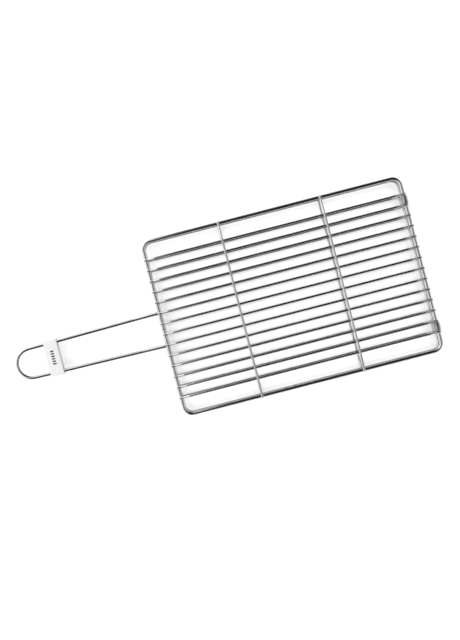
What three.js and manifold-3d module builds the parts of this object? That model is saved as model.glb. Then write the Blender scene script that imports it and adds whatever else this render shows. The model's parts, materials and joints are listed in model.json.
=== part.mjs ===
// A hinged double grill basket of chrome-plated steel wire, in millimetres, +Z up.
// Two wire grids face each other. They turn on two sheet-steel links at the far end (+X),
// and a sheet-steel band on the long handle loop (-X) slides over both handles to lock them.
// The origin is the middle of the footprint, on the surface that the basket lies on.
import * as THREE from 'three';
import { mergeVertices } from 'three/addons/utils/BufferGeometryUtils.js';
import Module from 'manifold-3d';

// Stock sizes
const WIRE = 5.0; // frame and handle wire, diameter
const ROD = 3.0; // grid rod, diameter
const CROSS_ROD = 3.0; // cross rod, diameter
const LINK_SHEET = 1.0; // hinge link, sheet thickness
const BAND_SHEET = 0.8; // sliding band, sheet thickness
const GAP = 0.3; // air between neighbouring pieces

// Basket
const BASKET_LENGTH = 350; // over the frame wire, along X
const BASKET_WIDTH = 236; // over the frame wire, along Y
const CORNER_RADIUS = 11; // of the frame wire's centre line
const FRAME_SPACING = 20; // between the two frames' centre lines, along Z
const ROD_COUNT = 14; // in each grid
const ROD_PITCH = 14.15;
const BULGE = 2.5; // how far each grid stands out from its frame
const CROSS_ROD_PLACES = [0.3, 0.69]; // along the basket's length, from the handle end

// Handle
const HANDLE_REACH = 197; // the loop's outer end beyond the basket's frame
const HANDLE_END_RADIUS = 19.2; // of the loop's round end, on its centre line
const LEG_SPREAD = THREE.MathUtils.degToRad(0.9); // each leg, away from the handle's middle line

// Sliding band
const BAND_WIDTH = 18; // along the handle
const BAND_FROM_END = 51; // its middle, from the loop's outer end
const BAND_TRAVEL_IN = 18; // towards the basket, to where the spreading legs stop it
const BAND_FOLD_RADIUS = 0.2; // inside
const RIB_COUNT = 6; // ribs stamped into the band's upper wall, side by side across the handle
const RIB_PITCH = 3.3;
const RIB_LENGTH = 5.4; // along the handle, over the pressed metal
const RIB_WIDTH = 2.4;
const RIB_DEPTH = 1.3; // below the wall, deep enough to catch on the loop's round end

// Hinge links
const LINK_EYE_RADIUS = 3.0; // inside the rolled eye
const LINK_OPENING = THREE.MathUtils.degToRad(130); // where each rolled eye ends

// Fineness of the facets
const SECTION_SIDES = 8; // round a wire
const ARC_STEP = THREE.MathUtils.degToRad(15); // along the handle's round end
const EYE_STEPS = 14; // round a hinge link's eye

// Derived places
const frameHalfX = (BASKET_LENGTH - WIRE) / 2;
const frameHalfY = (BASKET_WIDTH - WIRE) / 2;
const linkEyeOuter = LINK_EYE_RADIUS + LINK_SHEET;
const totalLength = HANDLE_REACH + BASKET_LENGTH + linkEyeOuter - WIRE / 2;
const basketX = HANDLE_REACH + BASKET_LENGTH / 2 - totalLength / 2; // the basket's middle
const nearWireX = basketX - frameHalfX;
const farWireX = basketX + frameHalfX;
const loopEndX = -totalLength / 2;
const bandX = loopEndX + BAND_FROM_END;

// Heights, counted from the middle plane between the frames; the lower half mirrors the upper.
const frameZ = FRAME_SPACING / 2;
const rodEndZ = frameZ + WIRE / 2 + GAP + ROD / 2;
const rodZ = rodEndZ + BULGE;
const crossEndZ = frameZ + WIRE / 2 + GAP + CROSS_ROD / 2;
const crossZ = rodZ + ROD / 2 + GAP + CROSS_ROD / 2;
const legRootZ = frameZ - WIRE - GAP;
const legZ = (WIRE + GAP) / 2;
const middleZ = crossZ + CROSS_ROD / 2;

const wasm = await Module();
wasm.setup();

const chrome = () => new THREE.MeshStandardMaterial({ color: 0xd9dbdd, roughness: 0.16, metalness: 1 });
const sheetSteel = () => new THREE.MeshStandardMaterial({ color: 0xc9cbcd, roughness: 0.24, metalness: 1 });
const bandSteel = () => new THREE.MeshStandardMaterial({ color: 0xf0f0f0, roughness: 0.34, metalness: 1 });

// A wire's route: straight runs through a list of stations, one section of the wire at each.
class WireRoute extends THREE.Curve {
  constructor(stations) {
    super();
    this.stations = stations;
    this.lastIndex = stations.length - 1;
  }

  getUtoTmapping(u) {
    return u;
  }

  getPoint(t, target = new THREE.Vector3()) {
    const place = THREE.MathUtils.clamp(t, 0, 1) * this.lastIndex;
    const index = Math.min(Math.floor(place), this.lastIndex - 1);
    return target.lerpVectors(this.stations[index], this.stations[index + 1], place - index);
  }

  getTangent(t, target = new THREE.Vector3()) {
    const index = Math.round(t * this.lastIndex);
    const here = this.stations[index];
    const before = this.stations[Math.max(index - 1, 0)];
    const after = this.stations[Math.min(index + 1, this.lastIndex)];
    const arriving = new THREE.Vector3().subVectors(here, before).normalize();
    const leaving = new THREE.Vector3().subVectors(after, here).normalize();
    return target.addVectors(arriving, leaving).normalize();
  }
}

// A round wire as an eight-sided bar whose flats touch the true circle, two of them level.
function wireGeometry(stations, diameter) {
  const cornerRadius = diameter / 2 / Math.cos(Math.PI / SECTION_SIDES);
  const corners = Array.from({ length: SECTION_SIDES }, (_, side) => {
    const angle = ((side + 0.5) * 2 * Math.PI) / SECTION_SIDES;
    return new THREE.Vector2(cornerRadius * Math.cos(angle), cornerRadius * Math.sin(angle));
  });
  return new THREE.ExtrudeGeometry(new THREE.Shape(corners), {
    steps: stations.length - 1,
    bevelEnabled: false,
    extrudePath: new WireRoute(stations),
  });
}

// The outline of a rectangle with round corners, centred on the origin.
function roundedRectangle(outline, halfX, halfY, radius) {
  const quarter = Math.PI / 2;
  outline.moveTo(halfX, -halfY + radius);
  outline.lineTo(halfX, halfY - radius);
  outline.absarc(halfX - radius, halfY - radius, radius, 0, quarter, false);
  outline.lineTo(-halfX + radius, halfY);
  outline.absarc(-halfX + radius, halfY - radius, radius, quarter, 2 * quarter, false);
  outline.lineTo(-halfX, -halfY + radius);
  outline.absarc(-halfX + radius, -halfY + radius, radius, 2 * quarter, 3 * quarter, false);
  outline.lineTo(halfX - radius, -halfY);
  outline.absarc(halfX - radius, -halfY + radius, radius, 3 * quarter, 4 * quarter, false);
  return outline;
}

// A frame: one wire bent into a closed rectangle with round corners.
// Its flat ring has bevelled edges, which make the section the same eight-sided bar.
function frameGeometry(z) {
  const halfFlat = (WIRE / 2) * Math.tan(Math.PI / SECTION_SIDES);
  const bevel = WIRE / 2 - halfFlat;
  const ring = roundedRectangle(
    new THREE.Shape(),
    frameHalfX + halfFlat,
    frameHalfY + halfFlat,
    CORNER_RADIUS + halfFlat,
  );
  ring.holes.push(
    roundedRectangle(
      new THREE.Path(),
      frameHalfX - halfFlat,
      frameHalfY - halfFlat,
      CORNER_RADIUS - halfFlat,
    ),
  );
  const geometry = new THREE.ExtrudeGeometry(ring, {
    depth: 2 * halfFlat,
    curveSegments: 4,
    bevelEnabled: true,
    bevelSegments: 1,
    bevelSize: bevel,
    bevelThickness: bevel,
  });
  return geometry.translate(basketX, 0, z - halfFlat);
}

// A grid rod: its ends lie level on the frame's end wires, then it steps out to the grid's height.
function rodStations(y, side) {
  const endX = frameHalfX + WIRE / 2;
  const restX = frameHalfX - WIRE / 2 - 0.5;
  const levelX = endX - 14;
  const half = [
    [endX, rodEndZ],
    [restX, rodEndZ],
    [levelX, rodZ],
  ];
  const left = half.map(([x, z]) => new THREE.Vector3(basketX - x, y, middleZ + side * z));
  const right = half.map(([x, z]) => new THREE.Vector3(basketX + x, y, middleZ + side * z));
  return [...left, ...right.reverse()];
}

// A cross rod: it lies over the grid rods, and its ends come down to the frame's side wires.
function crossRodStations(x, side) {
  const outerRodY = ((ROD_COUNT - 1) / 2) * ROD_PITCH;
  const endY = frameHalfY + WIRE / 2;
  const restY = frameHalfY - WIRE / 2 - 0.5;
  const half = [
    [endY, crossEndZ],
    [restY, crossEndZ],
    [outerRodY + ROD, crossZ],
  ];
  const left = half.map(([y, z]) => new THREE.Vector3(x, -y, middleZ + side * z));
  const right = half.map(([y, z]) => new THREE.Vector3(x, y, middleZ + side * z));
  return [...left, ...right.reverse()];
}

// The handle loop's round end starts where the spreading legs touch its circle.
const loopCentreX = loopEndX + WIRE / 2 + HANDLE_END_RADIUS;
const legTouch = new THREE.Vector2(
  loopCentreX - HANDLE_END_RADIUS * Math.sin(LEG_SPREAD),
  HANDLE_END_RADIUS * Math.cos(LEG_SPREAD),
);
const legY = (x) => legTouch.y + (x - legTouch.x) * Math.tan(LEG_SPREAD);

// One leg's stations from the frame outwards to x = outerX: level under the frame wire, a slight
// bend towards the middle plane, then straight. side is the half it belongs to, hand the leg.
function legStations(side, hand, outerX) {
  const innerX = nearWireX + WIRE / 2;
  const bendX = nearWireX - WIRE;
  const straightX = bendX - 30;
  const places = [
    [innerX, legRootZ],
    [bendX, legRootZ],
    [straightX, legZ],
    [outerX, legZ],
  ];
  return places.map(([x, z]) => new THREE.Vector3(x, hand * legY(x), middleZ + side * z));
}

function handleLoopGeometry() {
  const steps = Math.round((Math.PI - 2 * LEG_SPREAD) / ARC_STEP);
  const start = Math.PI / 2 + LEG_SPREAD;
  const end = 1.5 * Math.PI - LEG_SPREAD;
  const arc = Array.from({ length: steps - 1 }, (_, index) => {
    const angle = start + ((end - start) * (index + 1)) / steps;
    return new THREE.Vector3(
      loopCentreX + HANDLE_END_RADIUS * Math.cos(angle),
      HANDLE_END_RADIUS * Math.sin(angle),
      middleZ + legZ,
    );
  });
  const out = legStations(1, 1, legTouch.x);
  const back = legStations(1, -1, legTouch.x).reverse();
  return wireGeometry([...out, ...arc, ...back], WIRE);
}

// A closed geometry as a manifold-3d solid, and back.
function solidOf(geometry) {
  const bare = geometry.index ? geometry.toNonIndexed() : geometry.clone();
  bare.deleteAttribute('normal');
  bare.deleteAttribute('uv');
  const merged = mergeVertices(bare, 1e-4);
  return new wasm.Manifold(new wasm.Mesh({
    numProp: 3,
    vertProperties: new Float32Array(merged.attributes.position.array),
    triVerts: new Uint32Array(merged.index.array),
  }));
}

function geometryOf(solid) {
  const { vertProperties, triVerts } = solid.getMesh();
  const geometry = new THREE.BufferGeometry();
  geometry.setAttribute('position', new THREE.BufferAttribute(vertProperties, 3));
  geometry.setIndex(new THREE.BufferAttribute(triVerts, 1));
  const flat = geometry.toNonIndexed();
  flat.computeVertexNormals();
  return flat;
}

// An upright block with round ends along X, between two heights.
function pillSolid(x, y, length, width, lowZ, highZ) {
  const radius = width / 2 - 0.01;
  const outline = roundedRectangle(new THREE.Shape(), length / 2, width / 2, radius);
  const geometry = new THREE.ExtrudeGeometry(outline, {
    depth: highZ - lowZ,
    curveSegments: 2,
    bevelEnabled: false,
  });
  return solidOf(geometry.translate(x, y, lowZ));
}

// The ribs stamped into the band's upper wall: pressed metal below it, a groove above it.
function stampRibs(band, wallInnerZ) {
  const wallOuterZ = wallInnerZ + BAND_SHEET;
  const grooveLength = RIB_LENGTH - BAND_SHEET;
  const grooveWidth = RIB_WIDTH - BAND_SHEET;
  let stamped = band;
  for (let index = 0; index < RIB_COUNT; index++) {
    const y = (index - (RIB_COUNT - 1) / 2) * RIB_PITCH;
    const pressedZ = wallInnerZ - RIB_DEPTH;
    const middleOfWallZ = (wallInnerZ + wallOuterZ) / 2;
    stamped = stamped.add(pillSolid(bandX, y, RIB_LENGTH, RIB_WIDTH, pressedZ, middleOfWallZ));
    const grooveZ = pressedZ + BAND_SHEET;
    stamped = stamped.subtract(pillSolid(bandX, y, grooveLength, grooveWidth, grooveZ, wallOuterZ + 1));
  }
  return stamped;
}

// The sliding band: a flat tube of sheet, folded sharply, that holds one handle above the other.
function bandGeometry() {
  const innerHalfY = legY(bandX + BAND_WIDTH / 2 + BAND_TRAVEL_IN) + WIRE / 2 + GAP;
  const innerHalfZ = legZ + WIRE / 2 + GAP;
  const wall = roundedRectangle(
    new THREE.Shape(),
    innerHalfY + BAND_SHEET,
    innerHalfZ + BAND_SHEET,
    BAND_SHEET + BAND_FOLD_RADIUS,
  );
  wall.holes.push(roundedRectangle(new THREE.Path(), innerHalfY, innerHalfZ, BAND_FOLD_RADIUS));
  const geometry = new THREE.ExtrudeGeometry(wall, {
    depth: BAND_WIDTH,
    curveSegments: 2,
    bevelEnabled: false,
  });
  const acrossUpAlong = new THREE.Matrix4().makeBasis(
    new THREE.Vector3(0, 1, 0),
    new THREE.Vector3(0, 0, 1),
    new THREE.Vector3(1, 0, 0),
  );
  geometry.applyMatrix4(acrossUpAlong).translate(bandX - BAND_WIDTH / 2, 0, middleZ);
  return geometryOf(stampRibs(solidOf(geometry), middleZ + innerHalfZ));
}

// A hinge link: one strip of sheet with an eye rolled round each frame's far wire and a straight
// web between them on the basket's side. The strip's middle line is thickened into an outline.
function linkGeometry(y) {
  const middleRadius = LINK_EYE_RADIUS + LINK_SHEET / 2;
  const turn = Math.PI + LINK_OPENING;
  const eye = (eyeZ, mirror) =>
    Array.from({ length: EYE_STEPS + 1 }, (_, index) => {
      const angle = LINK_OPENING - (turn * index) / EYE_STEPS;
      return {
        x: middleRadius * Math.cos(angle),
        z: eyeZ + mirror * middleRadius * Math.sin(angle),
        outX: Math.cos(angle),
        outZ: mirror * Math.sin(angle),
      };
    });
  const middleLine = [...eye(-frameZ, 1), ...eye(frameZ, -1).reverse()];
  const offset = (point, amount) =>
    new THREE.Vector2(point.x + amount * point.outX, point.z + amount * point.outZ);
  const outside = middleLine.map((point) => offset(point, LINK_SHEET / 2));
  const inside = middleLine.map((point) => offset(point, -LINK_SHEET / 2)).reverse();
  const width = ROD_PITCH - ROD - 2 * GAP;
  const geometry = new THREE.ExtrudeGeometry(new THREE.Shape([...outside, ...inside]), {
    depth: width,
    bevelEnabled: false,
  });
  return geometry.rotateX(Math.PI / 2).translate(farWireX, y + width / 2, middleZ);
}

const basket = new THREE.Group();

function add(name, geometry, material) {
  const mesh = new THREE.Mesh(geometry, material);
  mesh.name = name;
  basket.add(mesh);
}

// The two halves: frame, grid rods and cross rods.
for (const [half, side] of [['upper', 1], ['lower', -1]]) {
  add(`${half}_frame`, frameGeometry(middleZ + side * frameZ), chrome());
  for (let index = 0; index < ROD_COUNT; index++) {
    const y = ((ROD_COUNT - 1) / 2 - index) * ROD_PITCH;
    const number = String(index + 1).padStart(2, '0');
    add(`${half}_rod_${number}`, wireGeometry(rodStations(y, side), ROD), chrome());
  }
  CROSS_ROD_PLACES.forEach((place, index) => {
    const x = basketX + (place - 0.5) * BASKET_LENGTH;
    add(`${half}_cross_rod_${index + 1}`, wireGeometry(crossRodStations(x, side), CROSS_ROD), chrome());
  });
}

// The upper half's handle is the whole loop; the lower half's is two prongs under its legs,
// which stop just short of the sliding band.
add('upper_handle_loop', handleLoopGeometry(), chrome());
for (const [hand, sign] of [['left', 1], ['right', -1]]) {
  const prongEndX = bandX + BAND_WIDTH / 2 + 1;
  add(`lower_handle_prong_${hand}`, wireGeometry(legStations(-1, sign, prongEndX), WIRE), chrome());
}
add('sliding_band', bandGeometry(), bandSteel());

// The hinge links sit between the first two and the last two grid rods.
for (const [hand, sign] of [['left', 1], ['right', -1]]) {
  add(`hinge_link_${hand}`, linkGeometry((sign * (ROD_COUNT - 2) * ROD_PITCH) / 2), sheetSteel());
}

export default basket;
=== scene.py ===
"""A chrome wire grill basket seen from straight above: round wires, weld nuggets, rolled hinge
links and a stamped sliding band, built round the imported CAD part. Lengths are in metres."""
import json
import math

import bpy
from mathutils import Matrix, Vector, noise


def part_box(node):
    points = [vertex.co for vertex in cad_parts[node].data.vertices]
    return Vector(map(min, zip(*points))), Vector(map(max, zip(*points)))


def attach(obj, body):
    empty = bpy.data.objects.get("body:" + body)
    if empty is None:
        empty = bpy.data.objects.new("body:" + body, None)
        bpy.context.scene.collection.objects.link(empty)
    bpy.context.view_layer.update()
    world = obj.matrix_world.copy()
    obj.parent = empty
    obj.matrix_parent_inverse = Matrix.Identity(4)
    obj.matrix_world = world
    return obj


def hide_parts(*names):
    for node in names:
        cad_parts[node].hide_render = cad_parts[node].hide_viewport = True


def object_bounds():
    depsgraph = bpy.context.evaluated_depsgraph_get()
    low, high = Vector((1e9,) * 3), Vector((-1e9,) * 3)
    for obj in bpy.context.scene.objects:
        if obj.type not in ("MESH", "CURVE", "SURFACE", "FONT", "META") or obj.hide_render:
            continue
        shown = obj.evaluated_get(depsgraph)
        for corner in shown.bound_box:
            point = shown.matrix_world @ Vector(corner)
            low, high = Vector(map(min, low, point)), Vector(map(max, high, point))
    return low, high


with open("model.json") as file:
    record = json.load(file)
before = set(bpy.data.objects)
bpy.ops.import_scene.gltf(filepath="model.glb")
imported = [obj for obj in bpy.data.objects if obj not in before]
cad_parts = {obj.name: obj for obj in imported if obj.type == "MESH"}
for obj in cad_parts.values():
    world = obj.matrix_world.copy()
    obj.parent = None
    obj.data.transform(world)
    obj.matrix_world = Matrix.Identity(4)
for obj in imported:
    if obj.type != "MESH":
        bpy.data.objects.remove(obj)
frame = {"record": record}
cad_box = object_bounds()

noise.seed_set(1)  # unset, noise_vector is shifted by the clock

# Bends and cut ends that a node's box doesn't tell
FRAME_CORNER = 0.011  # the frame wire's centre line
ROD_REST_OVERHANG = 0.0005  # the level end of a rod, past the frame wire's inner side
ROD_SLOPE_END = 0.014  # where a rod has reached its full height, from its end
ROD_BEND = 0.007
CROSS_ROD_SLOPE_START = 0.003  # from the outermost grid rod's middle line
LEG_SPREAD = math.radians(0.9)
LEG_BEND = 0.09
LEG_SLOPE = 0.030  # length of the slope between a leg's root and its straight part
CUT_EDGE = 0.0004  # rounding of a sheared wire end

# Welds
FRAME_WELD_SINK = 0.0004  # how deep a rod's end weld reaches into the frame wire
ROD_WELD_SINK = 0.0003  # how far it stops below the rod's middle line
END_WELD_WIDTH = 0.86  # widths are shares of a wire's radius
CROSSING_WELD_WIDTH = 0.8
LEG_WELD_WIDTH = 0.5
LEG_WELD_SHIFT = 0.0007  # of a leg's two nuggets, to each side of its middle line
BUTT_WELD_HALF_LENGTH = 0.0011
BUTT_WELD_SCALES = [0.97, 1.005, 1.03, 1.045, 1.05, 1.045, 1.03, 1.005, 0.97]

# Sheet parts
LINK_SHEET = 0.001
LINK_OPENING = math.radians(130)
BAND_SHEET = 0.0008
BAND_CORNER = 0.0006  # the sheet's middle line
BAND_SEAM = 0.0004  # between the sheet's two ends, under the band
RIB_COUNT = 6
RIB_PITCH = 0.0033
RIB_LENGTH = 0.0054
RIB_WIDTH = 0.0024
RIB_DEPTH = 0.0012
RIB_MARGIN = 0.0004  # finely divided sheet round the ribs

# Fineness
WIRE_SIDES = 24
ARC_STEP = math.radians(4)
RIB_FINENESS = 0.0002
WELD_SIDES = 14
WELD_STEPS = 8
RUN_STEP = 0.009
RUN_DRIFT = 0.00012  # how far a hand-straightened wire strays from its line

# View: straight down from above the basket's handle end
VIEW_TURN = math.radians(-14.44)
VIEW_PLACE = (0.0117, -0.0099)
VIEW_HEIGHT = 1.5  # over the upper grid
VIEW_LENS = 65.45

# Floor
FLOOR_RADIUS = 12.0
FLOOR_SIDES = 96
FLOOR_CLEARANCE = 0.00002

X_AXIS = Vector((1, 0, 0))
Y_AXIS = Vector((0, 1, 0))
Z_AXIS = Vector((0, 0, 1))

record = frame["record"]
body_of_node = {
    node: body
    for body, members in record["behaviour"]["bodies"].items()
    for node in members
}


def smooth_step(low, high, value):
    share = min(max((value - low) / (high - low), 0.0), 1.0)
    return share * share * (3 - 2 * share)


# Paths


def rounded_corner(before, corner, after, radius):
    """Points along the arc of that radius that touches both straight runs at a corner."""
    arriving = (corner - before).normalized()
    leaving = (after - corner).normalized()
    angle = arriving.angle(leaving)
    if angle < math.radians(0.05):
        return [corner]
    start = corner - arriving * radius * math.tan(angle / 2)
    centre = corner + (leaving - arriving).normalized() * radius / math.cos(angle / 2)
    axis = arriving.cross(leaving).normalized()
    steps = max(3, math.ceil(angle / ARC_STEP))
    turns = [Matrix.Rotation(angle * i / steps, 3, axis) for i in range(steps + 1)]
    return [centre + turn @ (start - centre) for turn in turns]


def bent_path(corners, radius, closed=False):
    """The corners joined by straight runs, each corner rounded to that radius."""
    count = len(corners)
    path = []
    for index, corner in enumerate(corners):
        if not closed and index in (0, count - 1):
            path.append(corner.copy())
        else:
            path += rounded_corner(corners[index - 1], corner, corners[(index + 1) % count], radius)
    return path


def with_steps(path, closed=False):
    """The same path with long straight runs cut into short steps."""
    stepped = []
    ends = path[1:] + (path[:1] if closed else [])
    for start, end in zip(path, ends):
        steps = max(1, round((end - start).length / RUN_STEP))
        stepped += [start.lerp(end, i / steps) for i in range(steps)]
    return stepped if closed else stepped + [path[-1]]


def drifted(path, seed, firm_axes=()):
    """The path as a real wire lies: within a hair of its line, never quite straight. Along the
    firm axes it stays between the path's own ends."""
    strayed = [
        point + RUN_DRIFT * noise.noise_vector(point * 14 + Vector((seed * 3.7, seed * 1.3, 0)))
        for point in path
    ]
    for axis in firm_axes:
        low = min(point[axis] for point in path)
        high = max(point[axis] for point in path)
        for point in strayed:
            point[axis] = min(max(point[axis], low), high)
    return strayed


# Meshes


class Shape:
    """The vertices and faces of one piece. unbent is a vertex's place in the wire or strip laid
    out straight, and mark is where a weld or a filling shows."""

    def __init__(self):
        self.vertices = []
        self.faces = []
        self.unbent = []
        self.mark = []

    def add_ring(self, points, unbent, mark):
        first = len(self.vertices)
        self.vertices += points
        self.unbent += unbent
        self.mark += mark
        return range(first, first + len(points))

    def skin(self, rings, closed=False):
        """Quads between neighbouring rings, and a cap on each end of an open row of them."""
        pairs = zip(rings, rings[1:] + (rings[:1] if closed else []))
        for here, there in pairs:
            count = len(here)
            for i in range(count):
                j = (i + 1) % count
                self.faces.append((here[i], there[i], there[j], here[j]))
        if not closed:
            self.faces.append(tuple(rings[0]))
            self.faces.append(tuple(reversed(rings[-1])))


def sweep(shape, path, section, across, closed=False, scales=None, press=None, mark=0.0):
    """A section carried along a path. Its first coordinate lies along `across`. press may move a
    finished point and give it a mark."""
    rings = []
    travelled = 0.0
    count = len(path)
    for index, point in enumerate(path):
        before = path[index - 1] if closed or index > 0 else point
        after = path[(index + 1) % count] if closed or index < count - 1 else point
        tangent = (after - before).normalized()
        normal = across.cross(tangent).normalized()
        sideways = tangent.cross(normal)
        if index > 0:
            travelled += (point - path[index - 1]).length
        scale = scales[index] if scales else 1.0
        points = [point + scale * (a * sideways + b * normal) for a, b in section]
        marks = [mark] * len(section)
        if press:
            pressed = [press(place) for place in points]
            points = [place for place, _ in pressed]
            marks = [value for _, value in pressed]
        unbent = [Vector((a, b, travelled)) for a, b in section]
        rings.append(shape.add_ring(points, unbent, marks))
    shape.skin(rings, closed)


def round_section(radius, sides=WIRE_SIDES):
    turn = 2 * math.pi / sides
    return [(radius * math.cos(i * turn), radius * math.sin(i * turn)) for i in range(sides)]


def sheared_ends(path, radius):
    """The path with extra steps at both ends, and the scale that rounds each end's edge."""
    steps = 3
    quarter = [math.pi / 2 * i / steps for i in range(steps + 1)]
    inset = [CUT_EDGE * (1 - math.sin(angle)) for angle in quarter]
    scale = [1 - CUT_EDGE / radius * (1 - math.cos(angle)) for angle in quarter]
    start_run = (path[1] - path[0]).normalized()
    end_run = (path[-2] - path[-1]).normalized()
    start = [path[0] + start_run * distance for distance in reversed(inset)]
    end = [path[-1] + end_run * distance for distance in inset]
    scales = scale[::-1] + [1.0] * (len(path) - 2) + scale
    return start + path[1:-1] + end, scales


def wire(shape, path, radius, across):
    """An open round wire with sheared ends."""
    ended, scales = sheared_ends(path, radius)
    sweep(shape, ended, round_section(radius), across, scales=scales)


def weld(shape, place, first_height, second_height, radius, seed):
    """A weld nugget: squeezed metal between two crossing wires, waisted and slightly lumpy.
    It stands over one place of the plan, between two heights inside the wires."""
    low, high = sorted((first_height, second_height))
    foot = Vector((*place, low))
    top = Vector((*place, high))
    rings = []
    for step in range(WELD_STEPS + 1):
        share = step / WELD_STEPS
        waist = 0.78 + 0.5 * (2 * share - 1) ** 2
        centre = foot.lerp(top, share)
        points = []
        for side in range(WELD_SIDES):
            angle = 2 * math.pi * side / WELD_SIDES
            out = Vector((math.cos(angle), -math.sin(angle), 0))
            lump = noise.noise(out * 1.6 + Vector((seed * 2.1, share * 2, seed)))
            points.append(centre + out * radius * waist * (1 + 0.22 * lump))
        unbent = [point - foot for point in points]
        rings.append(shape.add_ring(points, unbent, [1.0] * WELD_SIDES))
    shape.skin(rings)


def strip_section(width, thickness, stops=()):
    """A strip's section with rounded edges: width along the first coordinate. stops are extra
    places across the width, where the strip is to be fine."""
    edge = thickness * 0.38
    half_width = width / 2
    half_sheet = thickness / 2
    flat = [-half_width + edge, *stops, half_width - edge]
    quarter = [math.pi / 2 * i / 3 for i in range(1, 4)]
    right = [
        (half_width - edge + edge * math.sin(a), -half_sheet + edge - edge * math.cos(a))
        for a in quarter
    ]
    outline = [(place, -half_sheet) for place in flat] + right
    return outline + [(-a, -b) for a, b in outline]


def piece(node, shape, material):
    """The finished piece that stands for one CAD node and rides with it."""
    mesh = bpy.data.meshes.new(f"shown_{node}")
    mesh.from_pydata(shape.vertices, [], shape.faces)
    unbent = mesh.attributes.new("unbent", "FLOAT_VECTOR", "POINT")
    unbent.data.foreach_set("vector", [c for place in shape.unbent for c in place])
    mark = mesh.attributes.new("mark", "FLOAT", "POINT")
    mark.data.foreach_set("value", shape.mark)
    mesh.polygons.foreach_set("use_smooth", [True] * len(mesh.polygons))
    mesh.set_sharp_from_angle(angle=math.radians(50))
    mesh.validate()
    mesh.materials.append(material)
    shown = bpy.data.objects.new(f"shown_{node}", mesh)
    bpy.context.scene.collection.objects.link(shown)
    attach(shown, body_of_node[node])
    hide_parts(node)
    return shown


# Materials


class Graph:
    """Short ways to add nodes to a material or a world."""

    def __init__(self, owner):
        owner.use_nodes = True
        self.tree = owner.node_tree
        self.tree.nodes.clear()

    def node(self, kind, inputs=(), **settings):
        made = self.tree.nodes.new(kind)
        for key, value in settings.items():
            setattr(made, key, value)
        for key, value in dict(inputs).items():
            if isinstance(value, bpy.types.NodeSocket):
                self.tree.links.new(value, made.inputs[key])
            else:
                made.inputs[key].default_value = value
        return made

    def maths(self, operation, *values):
        return self.node("ShaderNodeMath", dict(enumerate(values)), operation=operation).outputs[0]

    def noise(self, place, scale, detail=3.0, roughness=0.55):
        inputs = {"Vector": place, "Scale": scale, "Detail": detail, "Roughness": roughness}
        return self.node("ShaderNodeTexNoise", inputs).outputs["Fac"]

    def stretched(self, place, scale):
        inputs = {"Vector": place, "Scale": scale}
        return self.node("ShaderNodeMapping", inputs).outputs["Vector"]

    def spread(self, value, low, high, to_low, to_high):
        inputs = {
            "Value": value, "From Min": low, "From Max": high, "To Min": to_low, "To Max": to_high,
        }
        made = self.node("ShaderNodeMapRange", inputs, interpolation_type="SMOOTHSTEP")
        return made.outputs["Result"]

    def ramp(self, value, stops):
        made = self.node("ShaderNodeValToRGB", {"Fac": value})
        elements = made.color_ramp.elements
        while len(elements) < len(stops):
            elements.new(1.0)
        for element, (place, colour) in zip(elements, stops):
            element.position = place
            element.color = colour
        return made.outputs["Color"]

    def mix(self, share, first, second):
        inputs = {0: share, 6: first, 7: second}
        return self.node("ShaderNodeMix", inputs, data_type="RGBA").outputs[2]

    def attribute(self, name, output):
        return self.node("ShaderNodeAttribute", attribute_name=name).outputs[output]


def grey(level):
    return (level, level, level, 1.0)


def plated_metal(name, light, dark, smooth, rough, line_depth):
    """Plated steel: cloudy sheen, fine draw lines along the wire or strip, duller at its welds."""
    material = bpy.data.materials.new(name)
    graph = Graph(material)
    place = graph.node("ShaderNodeTexCoord").outputs["Object"]
    unbent = graph.attribute("unbent", "Vector")
    mark = graph.attribute("mark", "Fac")
    cloud = graph.noise(place, 90.0, 4.0)
    film = graph.noise(place, 700.0, 2.0)
    lines = graph.noise(graph.stretched(unbent, (5200.0, 5200.0, 55.0)), 1.0, 3.0, 0.7)
    colour = graph.ramp(cloud, [(0.3, grey(dark)), (0.62, grey(light))])
    welded = graph.mix(graph.maths("MULTIPLY", mark, 0.75), colour, (0.34, 0.33, 0.32, 1.0))
    sheen = graph.spread(graph.maths("ADD", cloud, graph.maths("MULTIPLY", film, 0.35)),
                         0.45, 0.95, smooth, rough)
    dulled = graph.maths("ADD", sheen, graph.maths("MULTIPLY", mark, 0.24))
    height = graph.maths("ADD", lines, graph.maths("MULTIPLY", film, 0.6))
    bump = graph.node("ShaderNodeBump", {
        "Height": height, "Strength": 0.35, "Distance": line_depth,
    })
    shader = graph.node("ShaderNodeBsdfPrincipled", {
        "Base Color": welded, "Metallic": 1.0, "Roughness": dulled,
        "Normal": bump.outputs["Normal"],
    })
    graph.node("ShaderNodeOutputMaterial", {"Surface": shader.outputs["BSDF"]})
    return material


def satin_sheet(name):
    """The band: pale brushed sheet with a grain across the handle, and dark filled ribs."""
    material = bpy.data.materials.new(name)
    graph = Graph(material)
    unbent = graph.attribute("unbent", "Vector")
    mark = graph.attribute("mark", "Fac")
    grain = graph.noise(graph.stretched(unbent, (4200.0, 4200.0, 90.0)), 1.0, 4.0, 0.7)
    cloud = graph.noise(unbent, 160.0, 3.0)
    grain_share = graph.maths("MULTIPLY", grain, 0.6)
    tone = graph.maths("ADD", grain_share, graph.maths("MULTIPLY", cloud, 0.4))
    sheet = graph.ramp(tone, [(0.3, grey(0.64)), (0.7, grey(0.72))])
    filling = graph.spread(mark, 0.35, 0.6, 0.0, 1.0)
    colour = graph.mix(filling, sheet, grey(0.012))
    metal = graph.spread(filling, 0.0, 1.0, 0.35, 0.0)
    dullness = graph.spread(grain, 0.3, 0.7, 0.42, 0.6)
    bump = graph.node("ShaderNodeBump", {"Height": grain, "Strength": 0.3, "Distance": 0.00004})
    shader = graph.node("ShaderNodeBsdfPrincipled", {
        "Base Color": colour, "Metallic": metal, "Roughness": dullness,
        "Normal": bump.outputs["Normal"],
    })
    graph.node("ShaderNodeOutputMaterial", {"Surface": shader.outputs["BSDF"]})
    return material


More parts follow.
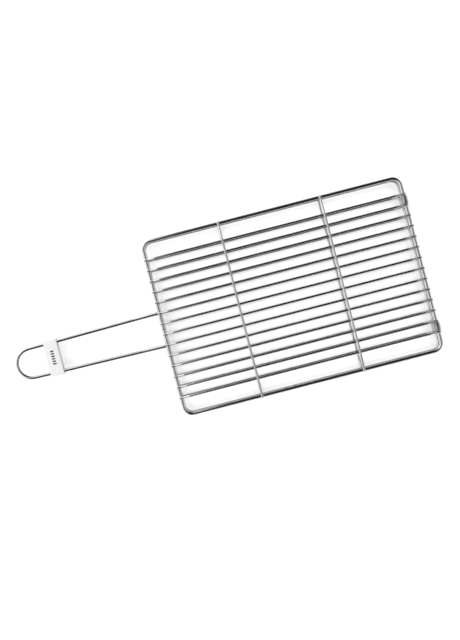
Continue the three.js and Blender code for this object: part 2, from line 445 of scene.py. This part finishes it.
chrome = plated_metal("chrome_wire", 0.66, 0.57, 0.04, 0.10, 0.000004)
# The hinge links use the same plated steel with a much darker base colour: painted shade for the
# links' shadowed, inward-sloping eyes.
link_steel_shade_darkened = plated_metal("link_sheet", 0.34, 0.25, 0.16, 0.30, 0.000008)
band_steel = satin_sheet("band_sheet")


# The two halves

half_rods = sorted(node for node in body_of_node if "_rod_" in node and "cross" not in node)
half_cross_rods = sorted(node for node in body_of_node if "cross_rod" in node)


def wire_radius(node, axis):
    low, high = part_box(node)
    return (high[axis] - low[axis]) / 2


frame_radius = wire_radius("upper_frame", 2)
rod_radius = wire_radius("upper_rod_01", 1)
cross_radius = wire_radius("upper_cross_rod_1", 0)


def frame_line(node):
    """The frame wire's centre line as (low corner, high corner, height)."""
    low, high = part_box(node)
    inset = Vector((frame_radius, frame_radius, 0))
    return low + inset, high - inset, (low.z + high.z) / 2


def make_frame(half, seed):
    node = f"{half}_frame"
    low, high, height = frame_line(node)
    middle = (low.y + high.y) / 2
    corners = [
        Vector((low.x, low.y, height)),
        Vector((high.x, low.y, height)),
        Vector((high.x, high.y, height)),
        Vector((low.x, high.y, height)),
    ]
    ring = bent_path(corners, FRAME_CORNER, closed=True)
    shape = Shape()
    path = drifted(with_steps(ring, closed=True), seed, firm_axes=(0, 1))
    sweep(shape, path, round_section(frame_radius), Z_AXIS, closed=True)
    seam = Vector((low.x, middle, height))
    butt_weld(shape, seam, seed)
    piece(node, shape, chrome)


def butt_weld(shape, centre, seed):
    """The low collar where a frame wire's two ends were welded together, on its near side."""
    steps = len(BUTT_WELD_SCALES) - 1
    start = centre - Y_AXIS * BUTT_WELD_HALF_LENGTH
    end = centre + Y_AXIS * BUTT_WELD_HALF_LENGTH
    path = drifted([start.lerp(end, i / steps) for i in range(steps + 1)], seed)
    section = round_section(frame_radius)
    sweep(shape, path, section, Z_AXIS, scales=BUTT_WELD_SCALES, mark=0.6)


def grid_profile(node, side, along):
    """A grid or cross rod's end place, and its end and middle heights."""
    low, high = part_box(node)
    radius = rod_radius if along == 0 else cross_radius
    end_height = low.z + radius if side > 0 else high.z - radius
    full_height = high.z - radius if side > 0 else low.z + radius
    return low, high, end_height, full_height


def make_rod(node, seed):
    half = node.split("_")[0]
    side = 1 if half == "upper" else -1
    low, high, end_height, full_height = grid_profile(node, side, 0)
    y = (low.y + high.y) / 2
    rest = 2 * frame_radius + ROD_REST_OVERHANG
    corners = [
        Vector((low.x, y, end_height)),
        Vector((low.x + rest, y, end_height)),
        Vector((low.x + ROD_SLOPE_END, y, full_height)),
        Vector((high.x - ROD_SLOPE_END, y, full_height)),
        Vector((high.x - rest, y, end_height)),
        Vector((high.x, y, end_height)),
    ]
    shape = Shape()
    wire(shape, drifted(with_steps(bent_path(corners, ROD_BEND)), seed), rod_radius, Y_AXIS)
    frame_height = frame_line(f"{half}_frame")[2]
    for x in (low.x + frame_radius, high.x - frame_radius):
        weld(shape, (x, y), frame_height + side * (frame_radius - FRAME_WELD_SINK),
             end_height - side * ROD_WELD_SINK, rod_radius * END_WELD_WIDTH, seed + x)
    piece(node, shape, chrome)


def make_cross_rod(node, seed):
    half = node.split("_")[0]
    side = 1 if half == "upper" else -1
    low, high, end_height, full_height = grid_profile(node, side, 1)
    x = (low.x + high.x) / 2
    rest = 2 * frame_radius + ROD_REST_OVERHANG
    outer_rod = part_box(f"{half}_rod_01")[1].y - rod_radius + CROSS_ROD_SLOPE_START
    corners = [
        Vector((x, low.y, end_height)),
        Vector((x, low.y + rest, end_height)),
        Vector((x, -outer_rod, full_height)),
        Vector((x, outer_rod, full_height)),
        Vector((x, high.y - rest, end_height)),
        Vector((x, high.y, end_height)),
    ]
    shape = Shape()
    path = drifted(with_steps(bent_path(corners, ROD_BEND)), seed, firm_axes=(1, 2))
    wire(shape, path, cross_radius, X_AXIS)
    frame_height = frame_line(f"{half}_frame")[2]
    for y in (low.y + frame_radius, high.y - frame_radius):
        weld(shape, (x, y), frame_height + side * (frame_radius - FRAME_WELD_SINK),
             end_height - side * ROD_WELD_SINK, cross_radius * END_WELD_WIDTH, seed + y)
    for rod in half_rods:
        if rod.startswith(half):
            rod_low, rod_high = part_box(rod)
            rod_height = rod_high.z - rod_radius if side > 0 else rod_low.z + rod_radius
            y = (rod_low.y + rod_high.y) / 2
            radius = rod_radius * CROSSING_WELD_WIDTH
            weld(shape, (x, y), rod_height + side * rod_radius * 0.7,
                 full_height - side * cross_radius * 0.5, radius, seed + y)
    piece(node, shape, chrome)


for index, half in enumerate(("upper", "lower")):
    make_frame(half, index)
for index, node in enumerate(half_rods):
    make_rod(node, index + 2)
for index, node in enumerate(half_cross_rods):
    make_cross_rod(node, index + 40)


# The handle

loop_low, loop_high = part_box("upper_handle_loop")
loop_radius = frame_radius
leg_root_x = loop_high.x
near_wire_x = frame_line("upper_frame")[0].x
leg_bend_x = near_wire_x - 2 * loop_radius
leg_straight_x = leg_bend_x - LEG_SLOPE


def leg_root_y():
    """A leg's middle line at its root, from how wide the loop's box is there."""
    return loop_high.y - loop_radius


def leg_place(x, height):
    return Vector((x, leg_root_y() - (leg_root_x - x) * math.tan(LEG_SPREAD), height))


# The round end touches both legs: its radius follows from the leg's line and the loop's end.
end_centre_radius = (
    leg_root_y() - (leg_root_x - loop_low.x - loop_radius) * math.tan(LEG_SPREAD)
) / (1 / math.cos(LEG_SPREAD) - math.tan(LEG_SPREAD))
end_centre_x = loop_low.x + loop_radius + end_centre_radius


def leg_corners(root_height, run_height, outer_x):
    return [
        leg_place(leg_root_x, root_height),
        leg_place(leg_bend_x, root_height),
        leg_place(leg_straight_x, run_height),
        leg_place(outer_x, run_height),
    ]


def leg_weld(shape, hand, half, root_height, seed):
    """Two nuggets side by side join a leg's root to the frame wire that it crosses."""
    side = 1 if half == "upper" else -1
    frame_height = frame_line(f"{half}_frame")[2]
    y = hand * leg_place(near_wire_x, 0).y
    for shift in (-LEG_WELD_SHIFT, LEG_WELD_SHIFT):
        weld(shape, (near_wire_x, y + shift), root_height + side * loop_radius * 0.8,
             frame_height - side * loop_radius * 0.8, loop_radius * LEG_WELD_WIDTH, seed + shift)


def mirrored(path):
    return [Vector((point.x, -point.y, point.z)) for point in path]


def make_handle_loop():
    root_height = loop_high.z - loop_radius
    run_height = loop_low.z + loop_radius
    touch_x = end_centre_x - end_centre_radius * math.sin(LEG_SPREAD)
    leg = bent_path(leg_corners(root_height, run_height, touch_x), LEG_BEND)
    start = math.pi / 2 + LEG_SPREAD
    end = 3 * math.pi / 2 - LEG_SPREAD
    steps = math.ceil((end - start) / ARC_STEP)
    centre = Vector((end_centre_x, 0, run_height))
    round_end = []
    for step in range(1, steps):
        angle = start + (end - start) * step / steps
        out = Vector((math.cos(angle), math.sin(angle), 0))
        round_end.append(centre + end_centre_radius * out)
    path = with_steps(leg) + round_end + with_steps(mirrored(leg)[::-1])
    shape = Shape()
    wire(shape, drifted(path, 60, firm_axes=(0,)), loop_radius, Z_AXIS)
    for hand in (1, -1):
        leg_weld(shape, hand, "upper", root_height, 61 + hand)
    piece("upper_handle_loop", shape, chrome)


def make_prong(hand_name, hand):
    node = f"lower_handle_prong_{hand_name}"
    low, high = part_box(node)
    root_height = low.z + loop_radius
    run_height = high.z - loop_radius
    path = bent_path(leg_corners(root_height, run_height, low.x), LEG_BEND)
    if hand < 0:
        path = mirrored(path)
    shape = Shape()
    wire(shape, drifted(with_steps(path), 70 + hand), loop_radius, Z_AXIS)
    leg_weld(shape, hand, "lower", root_height, 71 + hand)
    piece(node, shape, chrome)


make_handle_loop()
make_prong("left", 1)
make_prong("right", -1)


# The hinge links


def make_link(node):
    low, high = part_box(node)
    width = high.y - low.y
    x = frame_line("upper_frame")[1].x
    y = (low.y + high.y) / 2
    middle_radius = high.x - x - LINK_SHEET / 2
    turn = math.pi + LINK_OPENING
    steps = math.ceil(turn / ARC_STEP)

    def eye(height, mirror):
        points = []
        for step in range(steps + 1):
            angle = LINK_OPENING - turn * step / steps
            out = Vector((math.cos(angle), 0, mirror * math.sin(angle)))
            points.append(Vector((x, y, height)) + middle_radius * out)
        return points

    lower_eye = eye(frame_line("lower_frame")[2], 1)
    upper_eye = eye(frame_line("upper_frame")[2], -1)[::-1]
    path = with_steps(lower_eye + upper_eye)
    shape = Shape()
    sweep(shape, path, strip_section(width, LINK_SHEET), Y_AXIS)
    piece(node, shape, link_steel_shade_darkened)


for node in ("hinge_link_left", "hinge_link_right"):
    make_link(node)


# The sliding band


def rib_share(along, across):
    """How far a place of the band's upper wall is pressed in, from 0 to 1."""
    reach = RIB_WIDTH / 2
    straight = RIB_LENGTH / 2 - reach
    beyond = max(abs(along) - straight, 0.0)
    nearest = round(across / RIB_PITCH - 0.5) + 0.5
    limit = (RIB_COUNT - 1) / 2
    nearest = min(max(nearest, -limit), limit)
    distance = math.hypot(beyond, across - nearest * RIB_PITCH)
    return 1 - smooth_step(0.3 * reach, reach, distance)


def even_places(low, high, step):
    count = max(1, round((high - low) / step))
    return [low + (high - low) * i / count for i in range(count + 1)]


def make_band():
    node = "sliding_band"
    low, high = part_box(node)
    middle = (low + high) / 2
    half_y = (high.y - low.y) / 2 - BAND_SHEET / 2
    half_z = (high.z - low.z) / 2 - BAND_SHEET / 2
    rib_field = RIB_COUNT * RIB_PITCH / 2 + RIB_MARGIN
    fine_top = [
        Vector((middle.x, y, middle.z + half_z))
        for y in even_places(-rib_field, rib_field, RIB_FINENESS)
    ]
    start = Vector((middle.x, BAND_SEAM / 2, middle.z - half_z))
    corners = [
        start,
        Vector((middle.x, half_y, middle.z - half_z)),
        Vector((middle.x, half_y, middle.z + half_z)),
    ]
    right = bent_path([*corners, Vector((middle.x, rib_field, middle.z + half_z))], BAND_CORNER)
    left = mirrored(right)
    path = right[:-1] + fine_top[::-1] + left[:-1][::-1]
    wall_top = middle.z + half_z

    def press(place):
        if place.z < wall_top - BAND_SHEET:
            return place, 0.0
        share = rib_share(place.x - middle.x, place.y)
        return place - Z_AXIS * RIB_DEPTH * share, share

    rib_end = RIB_LENGTH / 2 + RIB_MARGIN
    stops = even_places(-rib_end, rib_end, RIB_FINENESS)
    shape = Shape()
    section = strip_section(high.x - low.x, BAND_SHEET, stops)
    sweep(shape, path, section, X_AXIS, press=press)
    piece(node, shape, band_steel)


make_band()


# The stage


def make_floor():
    height = cad_box[0].z - FLOOR_CLEARANCE
    outline = [Vector((a, b, height)) for a, b in round_section(FLOOR_RADIUS, FLOOR_SIDES)]
    mesh = bpy.data.meshes.new("floor")
    mesh.from_pydata(outline, [], [tuple(range(FLOOR_SIDES))])
    material = bpy.data.materials.new("pale_floor")
    graph = Graph(material)
    place = graph.node("ShaderNodeTexCoord").outputs["Object"]
    tone = graph.ramp(graph.noise(place, 6.0), [(0.3, grey(0.93)), (0.7, grey(0.95))])
    shader = graph.node("ShaderNodeBsdfPrincipled", {
        "Base Color": tone, "Roughness": 0.9, "Specular IOR Level": 0.1,
    })
    graph.node("ShaderNodeOutputMaterial", {"Surface": shader.outputs["BSDF"]})
    mesh.materials.append(material)
    floor = bpy.data.objects.new("floor", mesh)
    bpy.context.scene.collection.objects.link(floor)


# Studio light by direction: how far a direction leans to the view's right (-1 to 1), and its
# brightness. A big soft light stands on the left and a weak one on the right, with a dark strip
# of ceiling between them.
STUDIO_LIGHT = [
    (-1.0, 1.6),
    (-0.85, 1.4),
    (-0.50, 1.25),
    (-0.38, 0.95),
    (-0.27, 0.30),
    (-0.18, 0.09),
    (0.0, 0.03),
    (0.26, 0.02),
    (0.36, 0.08),
    (0.46, 0.42),
    (0.56, 0.70),
    (0.68, 0.36),
    (0.88, 0.60),
    (1.0, 0.90),
]
BRIGHTEST = 1.6
HORIZON_LIGHT = 1.0
LAMP_FOOT = 0.16  # the lamps stand clear of the floor: heights as the sine of the elevation
LAMP_FULL = 0.42
LIGHT_UNDER_LAMPS = 0.30

# A broad overhead light, and a soft box beside the handle
OVERHEAD_SPREAD = math.radians(80)
OVERHEAD_STRENGTH = 2.85
BOX_PLACE = (-0.72, 0.8, 1.55)
BOX_WIDTH = 1.25
BOX_HEIGHT = 3.0
BOX_POWER = 8.5


def make_surroundings():
    world = bpy.data.worlds.new("studio")
    bpy.context.scene.world = world
    graph = Graph(world)
    direction = graph.node("ShaderNodeTexCoord").outputs["Generated"]
    right = (math.cos(VIEW_TURN), math.sin(VIEW_TURN), 0.0)
    lean = graph.node("ShaderNodeVectorMath", {0: direction, 1: right}, operation="DOT_PRODUCT")
    share = graph.maths("MULTIPLY_ADD", lean.outputs["Value"], 0.5, 0.5)
    stops = [((place + 1) / 2, grey(level / BRIGHTEST)) for place, level in STUDIO_LIGHT]
    lamps = graph.ramp(share, stops)
    height = graph.node("ShaderNodeSeparateXYZ", {0: direction}).outputs["Z"]
    above = graph.spread(height, 0.03, 0.10, 0.0, 1.0)
    lamp_share = graph.spread(height, LAMP_FOOT, LAMP_FULL, LIGHT_UNDER_LAMPS, 1.0)
    lit = graph.node("ShaderNodeVectorMath", {0: lamps, 3: lamp_share}, operation="SCALE")
    sky = graph.mix(above, grey(HORIZON_LIGHT / BRIGHTEST), lit.outputs["Vector"])
    background = graph.node("ShaderNodeBackground", {"Color": sky, "Strength": BRIGHTEST})
    graph.node("ShaderNodeOutputWorld", {"Surface": background.outputs["Background"]})


def place_light(data, place, aim, in_reflections):
    light = bpy.data.objects.new(data.name, data)
    light.location = place
    light.rotation_euler = Vector(aim).to_track_quat("-Z", "Z").to_euler()
    light.visible_glossy = in_reflections
    light.visible_camera = False
    bpy.context.scene.collection.objects.link(light)


def make_lights():
    overhead = bpy.data.lights.new("overhead", "SUN")
    overhead.angle = OVERHEAD_SPREAD
    overhead.energy = OVERHEAD_STRENGTH
    place_light(overhead, (0, 0, 2), (0, 0, -1), in_reflections=False)
    box = bpy.data.lights.new("handle_side", "AREA")
    box.shape = "RECTANGLE"
    box.size, box.size_y = BOX_WIDTH, BOX_HEIGHT
    box.energy = BOX_POWER
    place_light(box, BOX_PLACE, (0, -1, 0), in_reflections=True)


def make_camera():
    data = bpy.data.cameras.new("camera")
    data.lens = VIEW_LENS
    data.sensor_width = 36.0
    data.clip_start = 0.01
    data.clip_end = 5 * FLOOR_RADIUS
    camera = bpy.data.objects.new("camera", data)
    camera.location = (*VIEW_PLACE, cad_box[1].z + VIEW_HEIGHT)
    camera.rotation_euler = (0.0, 0.0, VIEW_TURN)
    bpy.context.scene.collection.objects.link(camera)
    bpy.context.scene.camera = camera


make_floor()
make_surroundings()
make_lights()
make_camera()
bpy.context.scene.view_settings.view_transform = "Standard"
